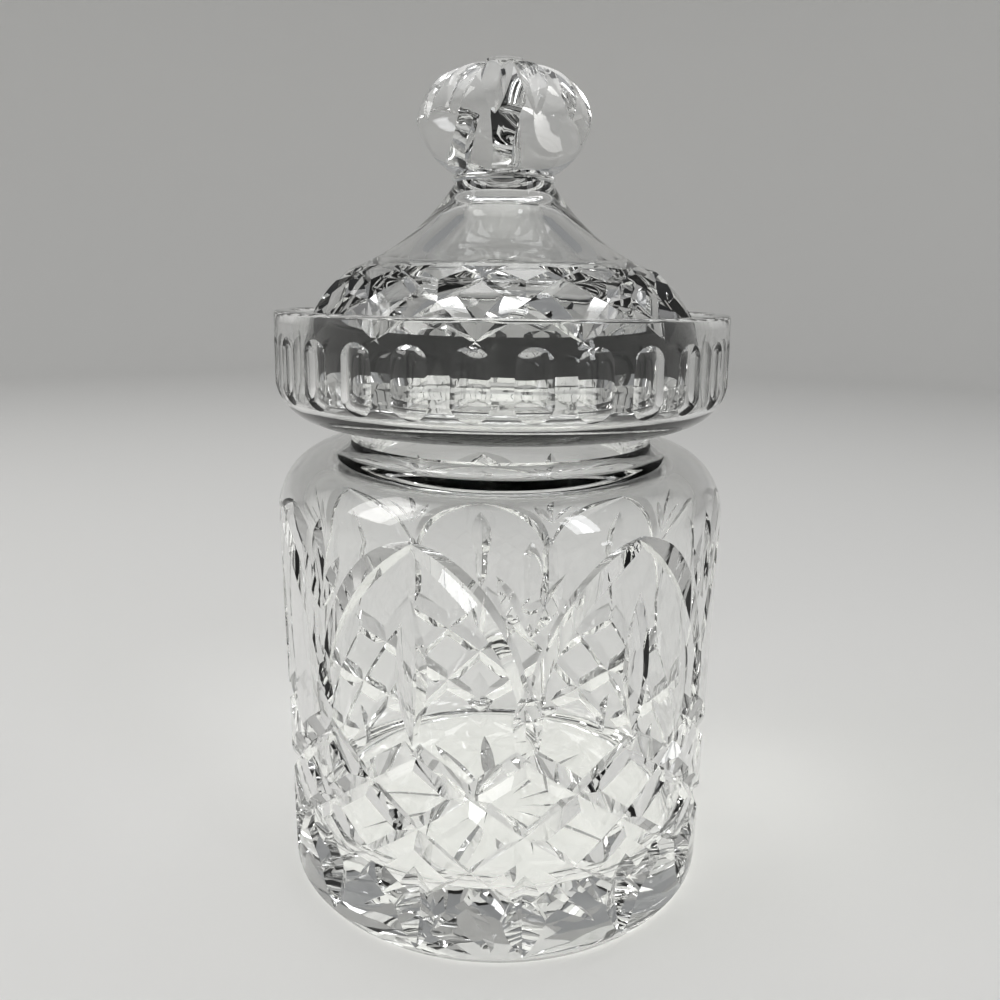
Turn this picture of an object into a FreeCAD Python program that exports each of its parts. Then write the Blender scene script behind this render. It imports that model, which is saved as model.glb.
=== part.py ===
# Cut crystal biscuit jar with a lift off lid
# The jar is a blown cylinder with a neck and a deep flared collar. The lid sits inside the collar.
# All the deep cutting is done as a cutting wheel does it: a V shaped or round edge is swung
# round the wheel's own axis, sunk into the wall and repeated round the jar.
import os
import math
import FreeCAD
import Part
import Sketcher

doc = FreeCAD.newDocument("BiscuitJar")

# Driving sizes in millimetres, degrees and counts
size = {
    "flat_angle": 36.0,
    "foot_radius": 59.4,
    "heel_rise": 1.4,
    "low_radius": 60.3,
    "top_radius": 61.0,
    "shoulder_start": 103.7,
    "shoulder_round": 17.2,
    "shoulder_top": 120.4,
    "shoulder_flat": 45.0,
    "neck_radius": 41.3,
    "neck_top": 127.2,
    "collar_flat": 46.8,
    "collar_round": 12.4,
    "collar_start": 137.3,
    "collar_radius": 60.3,
    "rim_radius": 60.1,
    "rim_height": 155.7,
    "rim_bevel": 1.0,
    "floor_height": 14.0,
    "floor_round": 8.0,
    "bore_radius": 54.2,
    "bore_top": 103.7,
    "inner_round": 11.0,
    "inner_top": 114.2,
    "inner_flat": 43.5,
    "mouth_radius": 35.6,
    "mouth_start": 116.6,
    "seat_height": 132.6,
    "recess_radius": 55.4,
    "recess_round": 4.0,
    "lid_play": 2.0,
    "plug_play": 0.7,
    "plug_depth": 7.0,
    "dome_foot": 10.0,
    "dome_width": 50.6,
    "dome_height": 154.0,
    "dome_round": 33.0,
    "cone_width": 40.4,
    "cone_height": 166.2,
    "cone_round": 55.0,
    "ring_radius": 13.4,
    "ring_height": 188.2,
    "ring_top": 190.0,
    "waist_radius": 12.6,
    "waist_height": 191.0,
    "knob_radius": 22.6,
    "knob_middle": 202.4,
    "knob_under": 14.2,
    "knob_round": 19.0,
    "knob_top": 218.3,
    "crown_round": 28.0,
    "plug_wall": 5.0,
    "hollow_width": 41.5,
    "hollow_rise": 150.0,
    "hollow_round": 40.0,
    "hollow_neck": 9.5,
    "hollow_cone": 176.0,
    "hollow_bend": 52.0,
    "hollow_top": 181.5,
    "hollow_corner": 3.0,
    "arch_count": 7,
    "column_count": 14,
    "lattice_middle": 34.0,
    "lattice_reach": 34.8,
    "lattice_lean": 37.5,
    "lattice_depth": 2.3,
    "lattice_edge": 54.0,
    "arch_apex": 106.5,
    "arch_spring": 62.0,
    "arch_depth": 2.6,
    "arch_edge": 50.0,
    "olive_middle": 75.5,
    "olive_half": 18.5,
    "olive_depth": 2.9,
    "olive_edge": 55.0,
    "stem_middle": 64.0,
    "stem_half": 13.0,
    "stem_depth": 3.2,
    "stem_edge": 48.0,
    "sprig_foot": 85.5,
    "sprig_half": 13.0,
    "sprig_depth": 2.0,
    "sprig_edge": 55.0,
    "leaf_half": 8.8,
    "leaf_depth": 1.5,
    "leaf_lean": 27.0,
    "wedge_middle": 13.5,
    "wedge_half": 12.2,
    "wedge_depth": 3.3,
    "wedge_edge": 60.0,
    "flute_count": 28,
    "flute_top": 151.5,
    "flute_depth": 1.3,
    "flute_round": 9.0,
    "star_count": 14,
    "star_middle": 24.5,
    "star_half": 17.0,
    "star_depth": 1.8,
    "star_edge": 52.0,
    "band_width": 46.4,
    "band_height": 160.0,
    "band_normal": 38.7,
    "band_lean": 50.0,
    "band_depth": 2.1,
    "band_edge": 56.0,
    "band_bend": 110.0,
    "band_reach": 18.0,
    "petal_width": 18.2,
    "petal_height": 211.7,
    "petal_normal": 47.0,
    "petal_depth": 2.2,
    "petal_edge": 60.0,
    "petal_bend": 60.0,
    "petal_reach": 14.0,
}
sheet = doc.addObject("Spreadsheet::Sheet", "Sizes")
for row, (name, value) in enumerate(size.items(), start=1):
    sheet.set("A%d" % row, name)
    sheet.set("B%d" % row, "%g" % value)
    sheet.setAlias("B%d" % row, name)
doc.recompute()


# A sum of sheet names and plain numbers, as a number and as an expression
def number(text):
    total = 0.0
    sign = 1.0
    for word in text.split():
        if word in ("+", "-"):
            sign = 1.0 if word == "+" else -1.0
        else:
            total += sign * (size[word] if word in size else float(word))
            sign = 1.0
    return total


def formula(text):
    return " ".join("Sizes." + word if word in size else word for word in text.split())


def origin_plane(body, role):
    return [item for item in body.Origin.OriginFeatures if item.Role == role][0]


def new_sketch(body, name, role, placement=None):
    sketch = body.newObject("Sketcher::SketchObject", name)
    sketch.AttachmentSupport = [(origin_plane(body, role), "")]
    sketch.MapMode = "FlatFace"
    if placement is not None:
        sketch.AttachmentOffset = placement
    return sketch


# Holds one end of a line or arc at named distances from the sketch's origin
def hold(sketch, piece, end, across, up):
    for kind, text, axis in (("DistanceX", across, -2), ("DistanceY", up, -1)):
        if abs(number(text)) < 1e-9:
            sketch.addConstraint(Sketcher.Constraint("PointOnObject", piece, end, axis))
        else:
            row = sketch.addConstraint(Sketcher.Constraint(kind, -1, 1, piece, end, number(text)))
            sketch.setExpression("Constraints[%d]" % row, formula(text))


# Points along a curve from start to end, both left out. A radius with a plus sign bows to the
# right of the way travelled and one with a minus sign to the left. The curve is made of short
# flats, as a turned mould's is, so that it stays light however many cuts cross it.
def curve_points(start, end, radius):
    along = end - start
    half = along.Length / 2.0
    bow = math.copysign(1.0, radius)
    right = FreeCAD.Vector(along.y, -along.x, 0) / along.Length * bow
    centre = (start + end) * 0.5 - right * math.sqrt(radius * radius - half * half)
    whole = 2.0 * math.degrees(math.asin(half / abs(radius)))
    parts = max(1, round(whole / size["flat_angle"]))
    points = []
    for index in range(1, parts):
        turn = FreeCAD.Rotation(FreeCAD.Vector(0, 0, 1), bow * whole * index / parts)
        points.append(centre + turn.multVec(start - centre))
    return points


# Closed outline: each stop is across, up and the radius of the curve that leads on from it
def outline(sketch, stops):
    corners = []
    for index, stop in enumerate(stops):
        start = FreeCAD.Vector(number(stop[0]), number(stop[1]), 0)
        corners.append((start, stop[0], stop[1]))
        if stop[2]:
            after = stops[(index + 1) % len(stops)]
            end = FreeCAD.Vector(number(after[0]), number(after[1]), 0)
            for point in curve_points(start, end, number(stop[2])):
                corners.append((point, "%.5f" % point.x, "%.5f" % point.y))
    for index, corner in enumerate(corners):
        sketch.addGeometry(Part.LineSegment(corner[0], corners[(index + 1) % len(corners)][0]), False)
    for index, corner in enumerate(corners):
        sketch.addConstraint(Sketcher.Constraint("Coincident", index, 2, (index + 1) % len(corners), 1))
        hold(sketch, index, 1, corner[1], corner[2])


# Turns the outline round the upright axis
def turned(body, name, stops):
    sketch = new_sketch(body, name + "Outline", "XZ_Plane")
    outline(sketch, stops)
    solid = body.newObject("PartDesign::Revolution", name)
    solid.Profile = sketch
    solid.ReferenceAxis = (sketch, ["V_Axis"])
    solid.Angle = 360
    doc.recompute()
    return solid


# Swings a pointed edge round one axis of its own sketch and takes it from the body
def swing(body, name, axis, points, placement, angle, midplane, backwards):
    sketch = new_sketch(body, name + "Edge", "XY_Plane", placement)
    for index in range(3):
        sketch.addGeometry(Part.LineSegment(points[index], points[(index + 1) % 3]), False)
    for index in range(3):
        sketch.addConstraint(Sketcher.Constraint("Coincident", index, 2, (index + 1) % 3, 1))
        for kind, far in (("DistanceX", points[index].x), ("DistanceY", points[index].y)):
            if abs(far) < 1e-9:
                line = -1 if kind == "DistanceY" else -2
                sketch.addConstraint(Sketcher.Constraint("PointOnObject", index, 1, line))
            else:
                sketch.addConstraint(Sketcher.Constraint(kind, -1, 1, index, 1, far))
    before = body.Tip.Shape.Volume
    cut = body.newObject("PartDesign::Groove", name)
    cut.Profile = sketch
    cut.ReferenceAxis = (sketch, [axis])
    cut.Angle = angle
    cut.Midplane = midplane
    cut.Reversed = backwards
    cut.Refine = False
    doc.recompute()
    if cut.Shape.Volume > before - 1.0:
        raise RuntimeError(name + " took nothing away")
    return cut


# Repeats a cut round the upright axis
def ringed(body, name, cut, count):
    ring = body.newObject("PartDesign::PolarPattern", name)
    ring.Originals = [cut]
    ring.Axis = (origin_plane(body, "Z_Axis"), [""])
    ring.Angle = 360
    ring.Refine = False
    ring.setExpression("Occurrences", "Sizes." + count)
    body.Tip = ring
    doc.recompute()
    return ring


# The pointed or hollow mark a wheel leaves. It's deepest at the middle and runs out at both ends.
# The place is on the surface, out is the way off the surface and lean turns the mark sideways.
def wheel_mark(body, name, wheel, depth, edge, place, out, lean, azimuth):
    side = FreeCAD.Rotation(out, lean).multVec(FreeCAD.Vector(0, 1, 0))
    turn = FreeCAD.Rotation(FreeCAD.Vector(0, 0, 1), azimuth)
    across = turn.multVec(out)
    along = turn.multVec(side)
    facing = FreeCAD.Rotation(across, along, across.cross(along), "XYZ")
    centre = turn.multVec(place + out * (wheel - depth))
    clear = 1.2
    half = (depth + clear) * math.tan(math.radians(edge))
    back = -(wheel - depth - clear)
    points = [
        FreeCAD.Vector(-wheel, 0, 0),
        FreeCAD.Vector(back, -half, 0),
        FreeCAD.Vector(back, half, 0),
    ]
    angle = 2.0 * math.degrees(math.acos(1.0 - (depth + clear) / wheel)) + 2.0
    return swing(body, name, "V_Axis", points, FreeCAD.Placement(centre, facing), angle, True, False)


# A longer mark that follows a bulging surface: its edge is swung round an axis inside the glass.
# The bend is the radius of that swing and reach is half the length of the mark.
def long_mark(body, name, bend, depth, edge, reach, place, out, lean, azimuth):
    side = FreeCAD.Rotation(out, lean).multVec(FreeCAD.Vector(0, 1, 0))
    turn = FreeCAD.Rotation(FreeCAD.Vector(0, 0, 1), azimuth)
    across = turn.multVec(out)
    along = turn.multVec(side)
    facing = FreeCAD.Rotation(across, along, across.cross(along), "XYZ")
    centre = turn.multVec(place - out * bend)
    clear = 1.0
    half = (depth + clear) * math.tan(math.radians(edge))
    points = [
        FreeCAD.Vector(bend - depth, 0, 0),
        FreeCAD.Vector(bend + clear, half, 0),
        FreeCAD.Vector(bend + clear, -half, 0),
    ]
    angle = 2.0 * math.degrees(reach / bend)
    return swing(body, name, "V_Axis", points, FreeCAD.Placement(centre, facing), angle, True, False)


def wall_radius(height):
    slope = (size["top_radius"] - size["low_radius"]) / size["shoulder_start"]
    return size["low_radius"] + slope * height


def wall_point(height):
    return FreeCAD.Vector(wall_radius(height), 0, height)


# Radius of the wheel that leaves a mark of this half length and depth on a flat wall
def wheel_for(half, depth):
    return half * half / (2.0 * depth)


outward = FreeCAD.Vector(1, 0, 0)
column_step = 360.0 / size["column_count"]

# Jar: thick floor, straight wall, round shoulder, short neck and a deep open collar
jar = doc.addObject("PartDesign::Body", "JarBody")
jar.Label = "jar"
turned(jar, "JarShell", [
    ("0", "0", ""),
    ("foot_radius", "0", ""),
    ("low_radius", "heel_rise", ""),
    ("top_radius", "shoulder_start", "shoulder_round"),
    ("shoulder_flat", "shoulder_top", ""),
    ("neck_radius", "shoulder_top + 1.6", ""),
    ("neck_radius", "neck_top - 1.2", ""),
    ("collar_flat", "neck_top", "collar_round"),
    ("collar_radius", "collar_start", ""),
    ("rim_radius", "rim_height - rim_bevel", ""),
    ("rim_radius - rim_bevel", "rim_height", ""),
    ("recess_radius + rim_bevel", "rim_height", ""),
    ("recess_radius", "rim_height - rim_bevel", ""),
    ("recess_radius", "seat_height + recess_round", "- recess_round"),
    ("recess_radius - recess_round", "seat_height", ""),
    ("mouth_radius + 1", "seat_height", ""),
    ("mouth_radius", "seat_height - 1", ""),
    ("mouth_radius", "mouth_start", ""),
    ("inner_flat", "inner_top", "- inner_round"),
    ("bore_radius", "bore_top", ""),
    ("bore_radius", "floor_height + floor_round", "- floor_round"),
    ("bore_radius - floor_round", "floor_height", ""),
    ("0", "floor_height", ""),
])

# Star of straight rays under the foot
star_wheel = wheel_for(size["star_half"], size["star_depth"])
cut = wheel_mark(
    jar, "StarRay", star_wheel, size["star_depth"], size["star_edge"],
    FreeCAD.Vector(size["star_middle"], 0, 0), FreeCAD.Vector(0, 0, -1), 0, 0,
)
ringed(jar, "StarRing", cut, "star_count")

# Shallow round flutes up the outside of the collar, from under it to just below the rim
flute_sketch = new_sketch(jar, "FluteEdge", "XY_Plane")
flute_sketch.AttachmentOffset = FreeCAD.Placement(FreeCAD.Vector(0, 0, size["flute_top"]), FreeCAD.Rotation())
flute_sketch.setExpression("AttachmentOffset.Base.z", "Sizes.flute_top")
flute_sketch.addGeometry(
    Part.Circle(
        FreeCAD.Vector(number("collar_radius + flute_round - flute_depth"), 0, 0),
        FreeCAD.Vector(0, 0, 1), size["flute_round"],
    ),
    False,
)
hold(flute_sketch, 0, 3, "collar_radius + flute_round - flute_depth", "0")
row = flute_sketch.addConstraint(Sketcher.Constraint("Radius", 0, size["flute_round"]))
flute_sketch.setExpression("Constraints[%d]" % row, "Sizes.flute_round")
before = jar.Tip.Shape.Volume
flute = jar.newObject("PartDesign::Pocket", "Flute")
flute.Profile = flute_sketch
flute.setExpression("Length", "Sizes.flute_top - Sizes.neck_top + 3")
flute.Refine = False
doc.recompute()
if flute.Shape.Volume > before - 1.0:
    raise RuntimeError("The flute took nothing away")
ringed(jar, "FluteRing", flute, "flute_count")

# Diamond lattice: long mitre grooves that lean one way and then the other
bend = wall_radius(size["lattice_middle"]) / math.cos(math.radians(size["lattice_lean"])) ** 2
for name, lean in (("LatticeRight", size["lattice_lean"]), ("LatticeLeft", -size["lattice_lean"])):
    cut = long_mark(
        jar, name, bend, size["lattice_depth"], size["lattice_edge"], size["lattice_reach"],
        wall_point(size["lattice_middle"]), outward, lean - 90.0 * math.copysign(1.0, lean), 0,
    )
    ringed(jar, name + "Ring", cut, "column_count")

# Pointed arches: each side is a curved mitre band swung round a level axis through the wall
spread = wall_radius(size["arch_spring"]) * math.sin(math.radians(180.0 / size["arch_count"] / 2.0))
climb = size["arch_apex"] - size["arch_spring"]
arch_radius = (climb * climb + 4.0 * spread * spread) / (4.0 * spread)
arch_sweep = math.degrees(math.asin(climb / arch_radius))
for name, hand in (("ArchRight", 1.0), ("ArchLeft", -1.0)):
    turn = FreeCAD.Rotation(FreeCAD.Vector(0, 0, 1), hand * 90.0 / size["arch_count"])
    offset = turn.multVec(FreeCAD.Vector(0, hand * (spread - arch_radius), size["arch_spring"]))
    surface = wall_radius(size["arch_spring"] + climb / 2.0)
    half = (size["arch_depth"] + 1.0) * math.tan(math.radians(size["arch_edge"]))
    edge = [
        FreeCAD.Vector(surface - size["arch_depth"], hand * arch_radius, 0),
        FreeCAD.Vector(surface + 1.0, hand * (arch_radius + half), 0),
        FreeCAD.Vector(surface + 1.0, hand * (arch_radius - half), 0),
    ]
    cut = swing(jar, name, "H_Axis", edge, FreeCAD.Placement(offset, turn), arch_sweep, False, hand < 0)
    ringed(jar, name + "Ring", cut, "arch_count")


# Upright marks on the wall: name, middle height, half length, depth, edge, azimuth, pattern count

for name, part, azimuth, count in (
    ("Olive", "olive", 0.0, "arch_count"),
    ("Stem", "stem", column_step, "arch_count"),
    ("Wedge", "wedge", 0.0, "column_count"),
):
    wheel = wheel_for(size[part + "_half"], size[part + "_depth"])
    place = wall_point(size[part + "_middle"])
    cut = wheel_mark(jar, name, wheel, size[part + "_depth"], size[part + "_edge"], place, outward, 0, azimuth)
    ringed(jar, name + "Ring", cut, count)

# Three leaved sprig between two arches, all from one foot
sprig_wheel = wheel_for(size["sprig_half"], size["sprig_depth"])
sprig_place = wall_point(size["sprig_foot"] + size["sprig_half"])
cut = wheel_mark(
    jar, "Sprig", sprig_wheel, size["sprig_depth"], size["sprig_edge"], sprig_place, outward, 0, column_step
)
ringed(jar, "SprigRing", cut, "arch_count")
leaf_wheel = wheel_for(size["leaf_half"], size["leaf_depth"])
leaf_rise = size["leaf_half"] * math.cos(math.radians(size["leaf_lean"]))
leaf_side = size["leaf_half"] * math.sin(math.radians(size["leaf_lean"]))
leaf_turn = math.degrees(leaf_side / wall_radius(size["sprig_foot"]))
for name, hand in (("LeafRight", 1.0), ("LeafLeft", -1.0)):
    place = wall_point(size["sprig_foot"] + leaf_rise)
    lean = -hand * size["leaf_lean"]
    azimuth = column_step + hand * leaf_turn
    cut = wheel_mark(
        jar, name, leaf_wheel, size["leaf_depth"], size["sprig_edge"], place, outward, lean, azimuth
    )
    ringed(jar, name + "Ring", cut, "arch_count")

# Lid: plug, flange, dome and cone hollow underneath, with a solid knob on a thin ring
lid = doc.addObject("PartDesign::Body", "LidBody")
lid.Label = "lid"
turned(lid, "LidShell", [
    ("0", "hollow_top", ""),
    ("hollow_neck - hollow_corner", "hollow_top", ""),
    ("hollow_neck", "hollow_top - hollow_corner", ""),
    ("hollow_neck + 1.5", "hollow_cone", "hollow_bend"),
    ("hollow_width - 12", "hollow_rise + 12.5", "- hollow_round"),
    ("hollow_width", "hollow_rise", ""),
    ("mouth_radius - plug_play - plug_wall", "seat_height + 2", ""),
    ("mouth_radius - plug_play - plug_wall", "seat_height - plug_depth", ""),
    ("mouth_radius - plug_play - 1", "seat_height - plug_depth", ""),
    ("mouth_radius - plug_play", "seat_height - plug_depth + 1", ""),
    ("mouth_radius - plug_play", "seat_height", ""),
    ("recess_radius - lid_play - 2.5", "seat_height", ""),
    ("recess_radius - lid_play", "seat_height + 2.5", ""),
    ("recess_radius - lid_play", "seat_height + dome_foot", "dome_round + 8"),
    ("dome_width", "dome_height", "dome_round"),
    ("cone_width", "cone_height", "- cone_round"),
    ("ring_radius - 0.6", "ring_height", ""),
    ("ring_radius", "ring_height + 0.5", ""),
    ("ring_radius", "ring_top - 0.4", ""),
    ("waist_radius", "waist_height - 0.6", ""),
    ("knob_under", "waist_height", "knob_round"),
    ("knob_radius", "knob_middle", "knob_round - 5"),
    ("knob_under", "knob_top - 4", "crown_round"),
    ("0", "knob_top", ""),
])


# Crossing mitre grooves that leave a band of diamonds on the shoulder of the dome
def tilted(degrees):
    angle = math.radians(degrees)
    return FreeCAD.Vector(math.cos(angle), 0, math.sin(angle))


band_place = FreeCAD.Vector(size["band_width"], 0, size["band_height"])
for name, lean in (("BandRight", size["band_lean"]), ("BandLeft", -size["band_lean"])):
    cut = long_mark(
        lid, name, size["band_bend"], size["band_depth"], size["band_edge"], size["band_reach"],
        band_place, tilted(size["band_normal"]), lean, 0,
    )
    ringed(lid, name + "Ring", cut, "column_count")

# Pointed petals cut down from the crown of the knob
petal_place = FreeCAD.Vector(size["petal_width"], 0, size["petal_height"])
cut = long_mark(
    lid, "Petal", size["petal_bend"], size["petal_depth"], size["petal_edge"], size["petal_reach"],
    petal_place, tilted(size["petal_normal"]), 0, column_step / 2.0,
)
ringed(lid, "PetalRing", cut, "column_count")

# Checks and files
doc.recompute()
for item in doc.Objects:
    if "Invalid" in item.State or "Error" in item.State:
        raise RuntimeError(item.Name + " did not build")
os.makedirs("parts", exist_ok=True)
for body in (jar, lid):
    if body.Shape.isNull() or not body.Shape.isValid() or len(body.Shape.Solids) != 1:
        raise RuntimeError(body.Label + " is not one valid solid")
    body.Shape.exportStep("parts/" + body.Label + ".step")
    box = body.Shape.optimalBoundingBox(True, False)
    print(body.Label, round(box.ZMin, 2), round(box.ZMax, 2), round(box.XLength, 2), round(body.Shape.Volume))
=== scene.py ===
# Cut crystal biscuit jar with its lift off lid, on a pale floor in soft studio light.
import math
import bmesh
import bpy
from mathutils import Matrix, Vector
from types import SimpleNamespace


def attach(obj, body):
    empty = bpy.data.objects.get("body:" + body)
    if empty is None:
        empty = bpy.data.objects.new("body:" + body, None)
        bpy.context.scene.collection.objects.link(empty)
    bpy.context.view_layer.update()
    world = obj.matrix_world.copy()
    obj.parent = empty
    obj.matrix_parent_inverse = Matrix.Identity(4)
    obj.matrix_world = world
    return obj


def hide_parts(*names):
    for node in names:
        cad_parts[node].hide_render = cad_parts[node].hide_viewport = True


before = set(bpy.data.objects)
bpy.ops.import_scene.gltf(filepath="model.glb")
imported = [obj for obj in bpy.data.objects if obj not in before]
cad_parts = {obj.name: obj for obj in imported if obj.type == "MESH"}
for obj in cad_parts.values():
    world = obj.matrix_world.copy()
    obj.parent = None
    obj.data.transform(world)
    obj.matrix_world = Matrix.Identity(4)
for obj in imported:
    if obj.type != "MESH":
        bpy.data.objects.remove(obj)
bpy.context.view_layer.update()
MM = 0.001
AROUND = 336
ARCHES = 7
COLUMNS = 14
FLUTES = 28
STEP = 360.0 / COLUMNS

# Sizes in millimetres and degrees
mm = SimpleNamespace(
    foot_radius=59.4, heel_rise=1.4, low_radius=60.3, top_radius=61.0,
    shoulder_start=103.7, shoulder_round=17.2, shoulder_top=120.4, shoulder_flat=45.0,
    neck_radius=41.3, neck_foot=122.0, neck_head=126.0, neck_top=127.2,
    collar_flat=46.8, collar_round=12.4, collar_start=137.3, collar_radius=60.3,
    rim_radius=60.1, rim_height=155.7, rim_bevel=1.0,
    floor_height=14.0, floor_round=8.0, bore_radius=54.2, bore_top=103.7,
    inner_round=11.0, inner_top=114.2, inner_flat=43.5,
    mouth_radius=35.6, mouth_start=116.6, mouth_bevel=1.0,
    seat_height=132.6, recess_radius=55.4, recess_round=4.0,
    lid_play=2.0, plug_play=0.7, plug_depth=7.0, plug_wall=5.0, plug_bevel=1.0,
    hollow_step=2.0, flange_bevel=2.5,
    dome_foot=10.0, dome_lower_round=41.0, dome_width=50.6, dome_height=154.0, dome_round=33.0,
    cone_width=40.4, cone_height=166.2, cone_round=55.0, cone_top=12.8,
    ring_radius=13.4, ring_height=188.2, ring_low=188.7, ring_high=189.6, ring_top=190.4,
    waist_radius=12.6, waist_height=191.0,
    knob_radius=22.6, knob_middle=202.4, knob_under=14.2, knob_round=19.0,
    knob_top=218.3, knob_side_round=14.0, crown_width=14.2, crown_height=214.3, crown_round=28.0,
    hollow_width=41.5, hollow_rise=150.0, hollow_round=40.0,
    hollow_shoulder=29.5, hollow_shoulder_height=162.5,
    hollow_neck=9.5, hollow_throat=11.0, hollow_cone=176.0, hollow_bend=52.0,
    hollow_top=181.5, hollow_corner=3.0,
    lattice_middle=34.0, lattice_reach=34.8, lattice_lean=37.5, lattice_depth=2.3, lattice_edge=54.0,
    arch_apex=106.5, arch_spring=62.0, arch_depth=2.6, arch_edge=50.0,
    leaf_foot=85.5, leaf_half=8.8, leaf_depth=1.5, leaf_edge=55.0, leaf_lean=27.0,
    star_middle=24.5, star_half=17.0, star_depth=1.8, star_edge=52.0,
    flute_foot=125.0, flute_top=151.5, flute_depth=1.3, flute_round=9.0, flute_reach=6.2, flute_fade=5.0,
    band_width=46.4, band_height=160.0, band_normal=38.7, band_lean=50.0,
    band_depth=2.1, band_edge=56.0, band_bend=110.0, band_reach=18.0,
    petal_width=18.2, petal_height=211.7, petal_normal=47.0,
    petal_depth=2.6, petal_edge=58.0, petal_bend=27.0, petal_reach=15.0,
)
mm.plug_radius = mm.mouth_radius - mm.plug_play
mm.flange_radius = mm.recess_radius - mm.lid_play
mm.plug_foot = mm.seat_height - mm.plug_depth
LONG_CLEAR = 1.0
SHORT_CLEAR = 1.2
OUT = Vector((1, 0, 0))
DOWN = Vector((0, 0, -1))


def arc(start, end, radius, count):
    """Points after start on an arc; a positive radius bows to the right of the way travelled."""
    ax, ay = start
    bx, by = end
    dx, dy = bx - ax, by - ay
    length = math.hypot(dx, dy)
    rx, ry = dy / length, -dx / length
    turn = 1.0 if radius > 0 else -1.0
    size = abs(radius)
    reach = math.sqrt(size * size - length * length / 4.0)
    cx = (ax + bx) / 2.0 - rx * reach * turn
    cy = (ay + by) / 2.0 - ry * reach * turn
    a0 = math.atan2(ay - cy, ax - cx)
    a1 = math.atan2(by - cy, bx - cx)
    bend = (a1 - a0 + math.pi) % (2.0 * math.pi) - math.pi
    angles = [a0 + bend * i / count for i in range(1, count + 1)]
    return [(cx + size * math.cos(a), cy + size * math.sin(a)) for a in angles]


def outline(stops, straight=2.2, bent=1.2):
    """Stops of (radius, height, bend to the next stop) as an open line of close points, in mm."""
    points = [(stops[0][0], stops[0][1])]
    for (ax, ay, bend), (bx, by, _) in zip(stops, stops[1:]):
        length = math.hypot(bx - ax, by - ay)
        if bend:
            points += arc((ax, ay), (bx, by), bend, max(6, int(length / bent)))
        else:
            parts = max(1, int(length / straight))
            points += [(ax + (bx - ax) * i / parts, ay + (by - ay) * i / parts) for i in range(1, parts + 1)]
    return points


def revolve(name, points, around):
    """A closed solid from an outline that starts and ends on the axis."""
    verts = []
    rings = []
    for radius, height in points:
        if radius < 1e-6:
            rings.append([len(verts)])
            verts.append((0.0, 0.0, height * MM))
        else:
            first = len(verts)
            for i in range(around):
                a = 2.0 * math.pi * i / around
                verts.append((radius * MM * math.cos(a), radius * MM * math.sin(a), height * MM))
            rings.append(list(range(first, first + around)))
    faces = []
    for low, high in zip(rings, rings[1:]):
        for i in range(around):
            j = (i + 1) % around
            if len(low) == 1:
                faces.append((low[0], high[j], high[i]))
            elif len(high) == 1:
                faces.append((low[i], low[j], high[0]))
            else:
                faces.append((low[i], low[j], high[j], high[i]))
    mesh = bpy.data.meshes.new(name)
    mesh.from_pydata(verts, [], faces)
    mesh.update()
    piece = bpy.data.objects.new(name, mesh)
    bpy.context.scene.collection.objects.link(piece)
    return piece


def sweep(rows):
    """A closed cutter from rows of points: every row is one position of the wheel's edge."""
    count = len(rows[0])
    verts = [p for row in rows for p in row]
    faces = []
    for k in range(len(rows) - 1):
        for i in range(count):
            j = (i + 1) % count
            faces.append((k * count + i, k * count + j, (k + 1) * count + j, (k + 1) * count + i))
    faces.append(tuple(reversed(range(count))))
    last = (len(rows) - 1) * count
    faces.append(tuple(last + i for i in range(count)))
    return verts, faces


def pointed(depth, edge, clear):
    """The wheel's V edge: how far in from the surface, and how far to each side."""
    half = (depth + clear) * math.tan(math.radians(edge))
    return [(depth, 0.0), (-clear, half), (-clear, -half)]


def rounded(depth, radius, chord, parts=12):
    """A round wheel edge as a circle segment, deepest in the middle."""
    top = math.asin(chord / radius)
    points = []
    for i in range(parts + 1):
        a = top * (1.0 - 2.0 * i / parts)
        points.append((depth - radius * (1.0 - math.cos(a)), radius * math.sin(a)))
    return points


def frame_at(place, out, lean, azimuth):
    """A mark's place, its way out of the glass, its width and its length, turned round the jar."""
    side = Matrix.Rotation(math.radians(lean), 3, out) @ Vector((0, 1, 0))
    turn = Matrix.Rotation(math.radians(azimuth), 3, "Z")
    out_t = turn @ out
    side_t = turn @ side
    return turn @ place, out_t, side_t, out_t.cross(side_t)


def wheel_mark(wheel, shape, place, out, lean, azimuth, steps=28):
    """Mark of a wheel whose axle is outside the glass: deepest in the middle, running out at both ends."""
    spot, out_t, side, along = frame_at(place, out, lean, azimuth)
    depth = max(p[0] for p in shape)
    top = max(-p[0] for p in shape)
    half_turn = math.acos(max(-1.0, 1.0 - (depth + top) / wheel)) + math.radians(1.0)
    centre = spot + out_t * (wheel - depth)
    rows = []
    for k in range(steps + 1):
        t = half_turn * (2.0 * k / steps - 1.0)
        u = -out_t * math.cos(t) + along * math.sin(t)
        rows.append([(centre + u * (wheel - depth + inner) + side * across) * MM for inner, across in shape])
    return rows


def long_mark(bend, shape, reach, place, out, lean, azimuth, steps=40):
    """Longer mark that follows a bulging surface: the edge swings round an axis inside the glass."""
    spot, out_t, side, along = frame_at(place, out, lean, azimuth)
    centre = spot - out_t * bend
    rows = []
    for k in range(steps + 1):
        t = (reach / bend) * (2.0 * k / steps - 1.0)
        u = out_t * math.cos(t) + along * math.sin(t)
        rows.append([(centre + u * (bend - inner) + side * across) * MM for inner, across in shape])
    return rows


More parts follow.
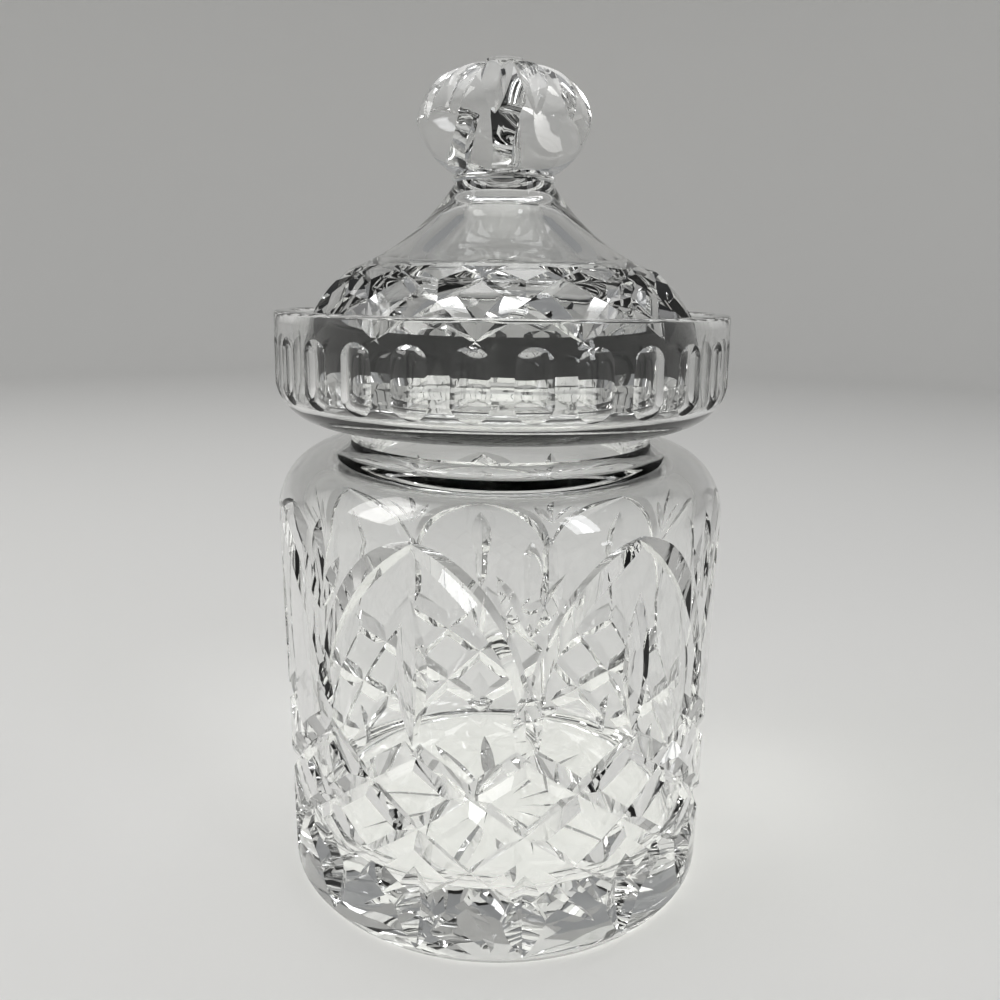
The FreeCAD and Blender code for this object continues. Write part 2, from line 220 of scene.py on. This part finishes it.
def arch_mark(radius, shape, surface, spread, spring, climb_angle, hand, azimuth, steps=56):
    """One side of a pointed arch: the edge swings round a level axis through the wall."""
    turn = Matrix.Rotation(math.radians(azimuth), 3, "Z")
    out = turn @ Vector((1, 0, 0))
    side = turn @ Vector((0, hand, 0))
    centre = side * (spread - radius) + Vector((0, 0, spring))
    rows = []
    for k in range(steps + 1):
        t = climb_angle * k / steps
        u = side * math.cos(t) + Vector((0, 0, math.sin(t)))
        row = [centre + out * (surface - inner) + u * (radius + across) for inner, across in shape]
        rows.append([point * MM for point in row])
    return rows


def flute(shape, radius, foot, top, run_out, azimuth, steps=10):
    """Upright flute: straight from the foot up, then it runs out to the surface below its top."""
    turn = Matrix.Rotation(math.radians(azimuth), 3, "Z")
    depth = max(p[0] for p in shape)
    wheel = wheel_for(run_out, depth + LONG_CLEAR)
    stations = [(foot, 0.0), (top - run_out, 0.0)]
    for k in range(1, steps + 1):
        rise = run_out * k / steps
        stations.append((top - run_out + rise, rise * rise / (2.0 * wheel)))
    return [[turn @ Vector((radius + lift - inner, across, height)) * MM for inner, across in shape]
            for height, lift in stations]


def cutter(name, marks):
    """One object that holds all the marks of a ring."""
    verts = []
    faces = []
    for rows in marks:
        some, more = sweep(rows)
        first = len(verts)
        verts += some
        faces += [tuple(first + i for i in face) for face in more]
    mesh = bpy.data.meshes.new(name)
    mesh.from_pydata(verts, [], faces)
    bm = bmesh.new()
    bm.from_mesh(mesh)
    bmesh.ops.recalc_face_normals(bm, faces=bm.faces)
    bm.to_mesh(mesh)
    bm.free()
    tool = bpy.data.objects.new(name, mesh)
    bpy.context.scene.collection.objects.link(tool)
    return tool


def cut(piece, name, marks):
    """Takes one set of wheel marks, which don't touch one another, out of the piece."""
    tool = cutter(name, marks)
    step = piece.modifiers.new(name, "BOOLEAN")
    step.operation = "DIFFERENCE"
    step.solver = "MANIFOLD"
    step.object = tool
    graph = bpy.context.evaluated_depsgraph_get()
    mesh = bpy.data.meshes.new_from_object(piece.evaluated_get(graph))
    if len(mesh.polygons) == 0:
        raise RuntimeError(name + " emptied the piece")
    old = piece.data
    piece.modifiers.clear()
    piece.data = mesh
    bpy.data.meshes.remove(old)
    bpy.data.objects.remove(tool)


def finish_glass(piece, material, sharp=24.0):
    """Smooth between cuts, with the edges of the cuts kept crisp."""
    mesh = piece.data
    for face in mesh.polygons:
        face.use_smooth = True
    mesh.set_sharp_from_angle(angle=math.radians(sharp))
    mesh.materials.clear()
    mesh.materials.append(material)


def crystal(name):
    """Polished lead crystal: clear, with a trace of grey green where it is thick and faint waves."""
    mat = bpy.data.materials.new(name)
    mat.use_nodes = True
    nodes = mat.node_tree.nodes
    links = mat.node_tree.links
    nodes.clear()
    out = nodes.new("ShaderNodeOutputMaterial")
    glass = nodes.new("ShaderNodeBsdfPrincipled")
    glass.inputs["Base Color"].default_value = (0.988, 0.991, 0.986, 1.0)
    glass.inputs["Transmission Weight"].default_value = 1.0
    glass.inputs["IOR"].default_value = 1.54
    coord = nodes.new("ShaderNodeTexCoord")
    # broad waves left by blowing and polishing
    wave = nodes.new("ShaderNodeTexNoise")
    wave.inputs["Scale"].default_value = 38.0
    wave.inputs["Detail"].default_value = 1.5
    links.new(coord.outputs["Object"], wave.inputs["Vector"])
    bump = nodes.new("ShaderNodeBump")
    bump.inputs["Strength"].default_value = 0.16
    bump.inputs["Distance"].default_value = 0.0012
    links.new(wave.outputs["Fac"], bump.inputs["Height"])
    links.new(bump.outputs["Normal"], glass.inputs["Normal"])
    # light handling wear: tiny changes of polish
    wear = nodes.new("ShaderNodeTexNoise")
    wear.inputs["Scale"].default_value = 220.0
    wear.inputs["Detail"].default_value = 4.0
    links.new(coord.outputs["Object"], wear.inputs["Vector"])
    rough = nodes.new("ShaderNodeMapRange")
    rough.inputs["From Min"].default_value = 0.45
    rough.inputs["From Max"].default_value = 0.8
    rough.inputs["To Min"].default_value = 0.0
    rough.inputs["To Max"].default_value = 0.03
    links.new(wear.outputs["Fac"], rough.inputs["Value"])
    links.new(rough.outputs["Result"], glass.inputs["Roughness"])
    body = nodes.new("ShaderNodeVolumeAbsorption")
    body.inputs["Color"].default_value = (0.885, 0.895, 0.875, 1.0)
    body.inputs["Density"].default_value = 1.8
    # lamps reach the floor and the far wall through the glass, as they do through real crystal
    path = nodes.new("ShaderNodeLightPath")
    clear = nodes.new("ShaderNodeBsdfTransparent")
    clear.inputs["Color"].default_value = (0.93, 0.933, 0.926, 1.0)
    mix = nodes.new("ShaderNodeMixShader")
    links.new(path.outputs["Is Shadow Ray"], mix.inputs[0])
    links.new(glass.outputs["BSDF"], mix.inputs[1])
    links.new(clear.outputs["BSDF"], mix.inputs[2])
    links.new(mix.outputs["Shader"], out.inputs["Surface"])
    links.new(body.outputs["Volume"], out.inputs["Volume"])
    return mat


def wall(height):
    return mm.low_radius + (mm.top_radius - mm.low_radius) * height / mm.shoulder_start


def on_wall(height):
    return Vector((wall(height), 0, height))


def tilted(degrees):
    return Vector((math.cos(math.radians(degrees)), 0, math.sin(math.radians(degrees))))


def ring_of(count, make):
    return [make(360.0 * i / count) for i in range(count)]


def pair_of(group, make, start=0.0):
    """Two marks on opposite sides, so that marks of one cut never touch near the axis."""
    return [make(STEP * (start + group + COLUMNS / 2 * i)) for i in range(2)]


def wheel_for(half, depth):
    """Radius of the wheel that leaves a mark of this half length and depth on a flat wall."""
    return half * half / (2.0 * depth)


# Jar: foot, wall, shoulder, neck and collar outside, then the recess, mouth and bore inside
jar = revolve("jar_glass", outline([
    (0, 0, 0),
    (mm.foot_radius, 0, 0),
    (mm.low_radius, mm.heel_rise, 0),
    (mm.top_radius, mm.shoulder_start, mm.shoulder_round),
    (mm.shoulder_flat, mm.shoulder_top, 0),
    (mm.neck_radius, mm.neck_foot, 0),
    (mm.neck_radius, mm.neck_head, 0),
    (mm.collar_flat, mm.neck_top, mm.collar_round),
    (mm.collar_radius, mm.collar_start, 0),
    (mm.rim_radius, mm.rim_height - mm.rim_bevel, mm.rim_bevel),
    (mm.rim_radius - mm.rim_bevel, mm.rim_height, 0),
    (mm.recess_radius + mm.rim_bevel, mm.rim_height, mm.rim_bevel),
    (mm.recess_radius, mm.rim_height - mm.rim_bevel, 0),
    (mm.recess_radius, mm.seat_height + mm.recess_round, -mm.recess_round),
    (mm.recess_radius - mm.recess_round, mm.seat_height, 0),
    (mm.mouth_radius + mm.mouth_bevel, mm.seat_height, 0),
    (mm.mouth_radius, mm.seat_height - mm.mouth_bevel, 0),
    (mm.mouth_radius, mm.mouth_start, 0),
    (mm.inner_flat, mm.inner_top, -mm.inner_round),
    (mm.bore_radius, mm.bore_top, 0),
    (mm.bore_radius, mm.floor_height + mm.floor_round, -mm.floor_round),
    (mm.bore_radius - mm.floor_round, mm.floor_height, 0),
    (0, mm.floor_height, 0),
]), AROUND)

# Lattice: a mark that leans on a cylinder bends less, by the square of the lean's cosine
lattice = pointed(mm.lattice_depth, mm.lattice_edge, LONG_CLEAR)
lattice_place = on_wall(mm.lattice_middle)
lattice_bend = wall(mm.lattice_middle) / math.cos(math.radians(mm.lattice_lean)) ** 2
for name, lean in (("lattice_right", 90.0 + mm.lattice_lean), ("lattice_left", 90.0 - mm.lattice_lean)):
    cut(jar, name, ring_of(COLUMNS, lambda a: long_mark(
        lattice_bend, lattice, mm.lattice_reach, lattice_place, OUT, lean, a)))

# Arches: both sides of each spring from the wall's half spacing and meet at the apex
spread = wall(mm.arch_spring) * math.sin(math.radians(180.0 / ARCHES / 2.0))
climb = mm.arch_apex - mm.arch_spring
swing = (climb * climb + 4.0 * spread * spread) / (4.0 * spread)
arch_shape = pointed(mm.arch_depth, mm.arch_edge, LONG_CLEAR)
for name, hand in (("arch_right", 1.0), ("arch_left", -1.0)):
    cut(jar, name, ring_of(ARCHES, lambda a: arch_mark(
        swing, arch_shape, wall(mm.arch_spring + climb / 2.0), spread, mm.arch_spring,
        math.asin(climb / swing), hand, a + hand * 90.0 / ARCHES)))

# Upright marks: name, middle height, half length, depth, edge, start angle and count
for name, middle, half, depth, edge, start, count in (
    ("olive", 75.5, 18.5, 2.9, 55.0, 0.0, ARCHES),
    ("stem", 64.0, 13.0, 3.2, 48.0, STEP, ARCHES),
    ("wedge", 13.5, 12.2, 3.3, 60.0, 0.0, COLUMNS),
    ("sprig", 98.5, 13.0, 2.0, 55.0, STEP, ARCHES),
):
    cut(jar, name, ring_of(count, lambda a: wheel_mark(
        wheel_for(half, depth), pointed(depth, edge, SHORT_CLEAR), on_wall(middle), OUT, 0.0, a + start)))

# Leaves beside each sprig, spread from its foot
leaf_rise = mm.leaf_half * math.cos(math.radians(mm.leaf_lean))
leaf_turn = math.degrees(mm.leaf_half * math.sin(math.radians(mm.leaf_lean)) / wall(mm.leaf_foot))
leaf_shape = pointed(mm.leaf_depth, mm.leaf_edge, SHORT_CLEAR)
for name, hand in (("leaf_right", 1.0), ("leaf_left", -1.0)):
    cut(jar, name, ring_of(ARCHES, lambda a: wheel_mark(
        wheel_for(mm.leaf_half, mm.leaf_depth), leaf_shape, on_wall(mm.leaf_foot + leaf_rise), OUT,
        -hand * mm.leaf_lean, a + STEP + hand * leaf_turn)))

# Star under the foot and flutes round the collar
star_shape = pointed(mm.star_depth, mm.star_edge, SHORT_CLEAR)
for group in range(COLUMNS // 2):
    cut(jar, "star_%d" % group, pair_of(group, lambda a: wheel_mark(
        wheel_for(mm.star_half, mm.star_depth), star_shape, Vector((mm.star_middle, 0, 0)), DOWN, 0.0, a)))
flute_shape = rounded(mm.flute_depth, mm.flute_round, mm.flute_reach)
cut(jar, "flutes", ring_of(FLUTES, lambda a: flute(
    flute_shape, mm.collar_radius, mm.flute_foot, mm.flute_top, mm.flute_fade, a)))

# Lid: hollow from the top down, plug and flange, then dome, cone, ring and knob
lid = revolve("lid_glass", outline([
    (0, mm.hollow_top, 0),
    (mm.hollow_neck - mm.hollow_corner, mm.hollow_top, -mm.hollow_corner),
    (mm.hollow_neck, mm.hollow_top - mm.hollow_corner, 0),
    (mm.hollow_throat, mm.hollow_cone, mm.hollow_bend),
    (mm.hollow_shoulder, mm.hollow_shoulder_height, -mm.hollow_round),
    (mm.hollow_width, mm.hollow_rise, 0),
    (mm.plug_radius - mm.plug_wall, mm.seat_height + mm.hollow_step, 0),
    (mm.plug_radius - mm.plug_wall, mm.plug_foot, 0),
    (mm.plug_radius - mm.plug_bevel, mm.plug_foot, 0),
    (mm.plug_radius, mm.plug_foot + mm.plug_bevel, 0),
    (mm.plug_radius, mm.seat_height, 0),
    (mm.flange_radius - mm.flange_bevel, mm.seat_height, 0),
    (mm.flange_radius, mm.seat_height + mm.flange_bevel, 0),
    (mm.flange_radius, mm.seat_height + mm.dome_foot, mm.dome_lower_round),
    (mm.dome_width, mm.dome_height, mm.dome_round),
    (mm.cone_width, mm.cone_height, -mm.cone_round),
    (mm.cone_top, mm.ring_height, 0),
    (mm.ring_radius, mm.ring_low, 0),
    (mm.ring_radius, mm.ring_high, 0),
    (mm.waist_radius, mm.ring_top, 0),
    (mm.knob_under, mm.waist_height, mm.knob_round),
    (mm.knob_radius, mm.knob_middle, mm.knob_side_round),
    (mm.crown_width, mm.crown_height, mm.crown_round),
    (0, mm.knob_top, 0),
]), AROUND)
band_shape = pointed(mm.band_depth, mm.band_edge, LONG_CLEAR)
band_place = Vector((mm.band_width, 0, mm.band_height))
for name, lean in (("band_right", mm.band_lean), ("band_left", -mm.band_lean)):
    cut(lid, name, ring_of(COLUMNS, lambda a: long_mark(
        mm.band_bend, band_shape, mm.band_reach, band_place, tilted(mm.band_normal), lean, a)))
petal_shape = pointed(mm.petal_depth, mm.petal_edge, LONG_CLEAR)
petal_place = Vector((mm.petal_width, 0, mm.petal_height))
for group in range(COLUMNS // 2):
    cut(lid, "petal_%d" % group, pair_of(group, lambda a: long_mark(
        mm.petal_bend, petal_shape, mm.petal_reach, petal_place, tilted(mm.petal_normal), 0.0, a), 0.5))

glass = crystal("crystal")
for piece, node in ((jar, "jar"), (lid, "lid")):
    finish_glass(piece, glass)
    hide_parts(node)
    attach(piece, node)


def plain(name, colour, roughness):
    mat = bpy.data.materials.new(name)
    mat.use_nodes = True
    shader = mat.node_tree.nodes["Principled BSDF"]
    shader.inputs["Base Color"].default_value = colour
    shader.inputs["Roughness"].default_value = roughness
    return mat


# A round sweep of pale paper: floor, a wide curve and a wall, so no edge shows behind the glass.
# It lies a hair below the foot, so that the two faces don't fight.
PAPER_FLAT = 1500.0
PAPER_CURVE = 600.0
PAPER_TOP = 1500.0
GAP = 0.3
paper_wall = PAPER_FLAT + PAPER_CURVE
paper_line = [(0.0, 0.0), (PAPER_FLAT, 0.0)]
paper_line += arc((PAPER_FLAT, 0.0), (paper_wall, PAPER_CURVE), PAPER_CURVE, 24)
paper_line.append((paper_wall, PAPER_TOP))
floor = revolve("floor", paper_line, 128)
for face in floor.data.polygons:
    face.use_smooth = True
floor.location.z = -GAP * MM
floor.data.materials.append(plain("floor_paper", (0.78, 0.775, 0.76, 1.0), 0.8))

world = bpy.data.worlds.new("studio")
world.use_nodes = True
world.node_tree.nodes["Background"].inputs["Color"].default_value = (0.24, 0.245, 0.25, 1.0)
world.node_tree.nodes["Background"].inputs["Strength"].default_value = 1.0
bpy.context.scene.world = world


def lamp(name, place, aim, size, power, colour=(1, 1, 1)):
    data = bpy.data.lights.new(name, "AREA")
    data.shape = "RECTANGLE"
    data.size, data.size_y = size
    data.energy = power
    data.color = colour
    obj = bpy.data.objects.new(name, data)
    obj.location = place
    obj.rotation_euler = (Vector(aim) - Vector(place)).to_track_quat("-Z", "Y").to_euler()
    obj.visible_camera = False
    bpy.context.scene.collection.objects.link(obj)


lamp("window_left", (-1.1, -0.45, 1.15), (0, 0, 0.1), (0.6, 1.0), 8.5, (1.0, 0.99, 0.97))
lamp("window_right", (1.0, -0.75, 1.0), (0, 0, 0.12), (0.25, 0.7), 4.0, (0.97, 0.98, 1.0))
lamp("top", (0.0, 0.2, 1.5), (0, 0, 0), (1.0, 1.0), 6.5)

# Camera, from the fit to the photograph: focal length in pixels of its 1000, metres and radians
FOCAL_PIXELS = 880.0
PHOTO_PIXELS = 1000.0
SENSOR = 36.0
AWAY = 0.2433
EYE = 0.1622
PITCH = 0.2385
ROLL = 0.0125
view = math.radians(-83.8)
data = bpy.data.cameras.new("camera")
data.sensor_width = SENSOR
data.lens = FOCAL_PIXELS / PHOTO_PIXELS * SENSOR
data.clip_start = 0.01
camera = bpy.data.objects.new("camera", data)
camera.location = (AWAY * math.cos(view), AWAY * math.sin(view), EYE)
camera.rotation_euler = (
    Matrix.Rotation(view + math.radians(90.0), 3, "Z")
    @ Matrix.Rotation(math.radians(90.0) - PITCH, 3, "X")
    @ Matrix.Rotation(ROLL, 3, "Z")
).to_euler()
bpy.context.scene.collection.objects.link(camera)
scene = bpy.context.scene
scene.camera = camera
scene.view_settings.view_transform = "Standard"
scene.cycles.max_bounces = 40
scene.cycles.transmission_bounces = 36
scene.cycles.glossy_bounces = 8
scene.cycles.transparent_max_bounces = 8
